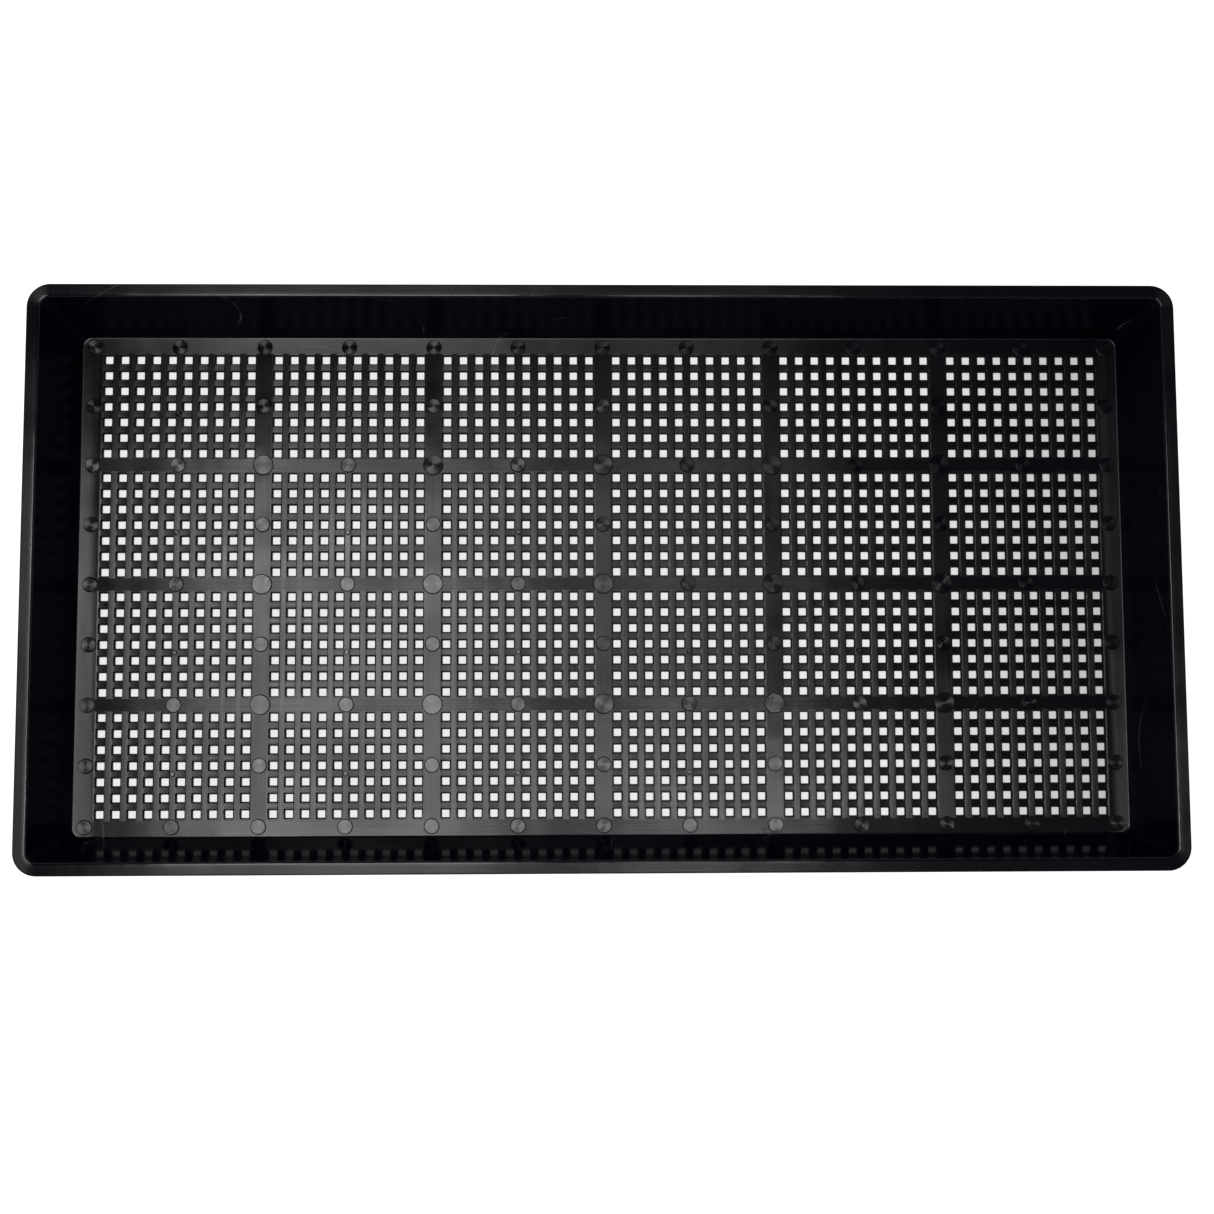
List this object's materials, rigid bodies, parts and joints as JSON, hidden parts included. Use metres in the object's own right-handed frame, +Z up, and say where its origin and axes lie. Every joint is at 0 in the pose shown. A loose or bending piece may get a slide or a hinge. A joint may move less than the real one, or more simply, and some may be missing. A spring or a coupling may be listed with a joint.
{
  "type": "mesh-bottom propagation tray",
  "caption": "Shallow rectangular black plastic tray with leaning walls, a turned-down rim and a floor of square-holed mesh panels between wide bars.",
  "frame": {"origin": "under the middle of the tray, on the plane that the floor's wide bars rest on", "axes": "+X along the long side, +Y towards the back long wall, +Z up out of the tray's mouth"},
  "size_m": [0.54, 0.275, 0.0426],
  "materials": {
    "rim_satin_black": "satin moulded polypropylene, lengthwise polish",
    "wall_gloss_black": "polished moulded polypropylene",
    "floor_satin_black": "satin, brushed along each bar",
    "mesh_satin_black": "satin, crowned bars",
    "pad_turned_black": "fine turned rings"
  },
  "bodies": {
    "root": {"border_back": "floor_satin_black", "border_front": "floor_satin_black", "border_left": "floor_satin_black", "border_right": "floor_satin_black", "cross_rib_1": "floor_satin_black", "cross_rib_2": "floor_satin_black", "cross_rib_3": "floor_satin_black", "cross_rib_4": "floor_satin_black", "cross_rib_5": "floor_satin_black", "ejector_pads_large": "pad_turned_black", "ejector_pads_medium": "pad_turned_black", "ejector_pads_small": "pad_turned_black", "long_rib_1": "floor_satin_black", "long_rib_2": "floor_satin_black", "long_rib_3": "floor_satin_black", "mesh_panel_row1_col1": "mesh_satin_black", "mesh_panel_row1_col2": "mesh_satin_black", "mesh_panel_row1_col3": "mesh_satin_black", "mesh_panel_row1_col4": "mesh_satin_black", "mesh_panel_row1_col5": "mesh_satin_black", "mesh_panel_row1_col6": "mesh_satin_black", "mesh_panel_row2_col1": "mesh_satin_black", "mesh_panel_row2_col2": "mesh_satin_black", "mesh_panel_row2_col3": "mesh_satin_black", "mesh_panel_row2_col4": "mesh_satin_black", "mesh_panel_row2_col5": "mesh_satin_black", "mesh_panel_row2_col6": "mesh_satin_black", "mesh_panel_row3_col1": "mesh_satin_black", "mesh_panel_row3_col2": "mesh_satin_black", "mesh_panel_row3_col3": "mesh_satin_black", "mesh_panel_row3_col4": "mesh_satin_black", "mesh_panel_row3_col5": "mesh_satin_black", "mesh_panel_row3_col6": "mesh_satin_black", "mesh_panel_row4_col1": "mesh_satin_black", "mesh_panel_row4_col2": "mesh_satin_black", "mesh_panel_row4_col3": "mesh_satin_black", "mesh_panel_row4_col4": "mesh_satin_black", "mesh_panel_row4_col5": "mesh_satin_black", "mesh_panel_row4_col6": "mesh_satin_black", "rim_back": "rim_satin_black", "rim_corner_back_left": "rim_satin_black", "rim_corner_back_right": "rim_satin_black", "rim_corner_front_left": "rim_satin_black", "rim_corner_front_right": "rim_satin_black", "rim_front": "rim_satin_black", "rim_left": "rim_satin_black", "rim_right": "rim_satin_black", "stacking_webs": "rim_satin_black", "wall_back": "wall_gloss_black", "wall_corner_back_left": "wall_gloss_black", "wall_corner_back_right": "wall_gloss_black", "wall_corner_front_left": "wall_gloss_black", "wall_corner_front_right": "wall_gloss_black", "wall_front": "wall_gloss_black", "wall_left": "wall_gloss_black", "wall_right": "wall_gloss_black"}
  },
  "joints": []
}
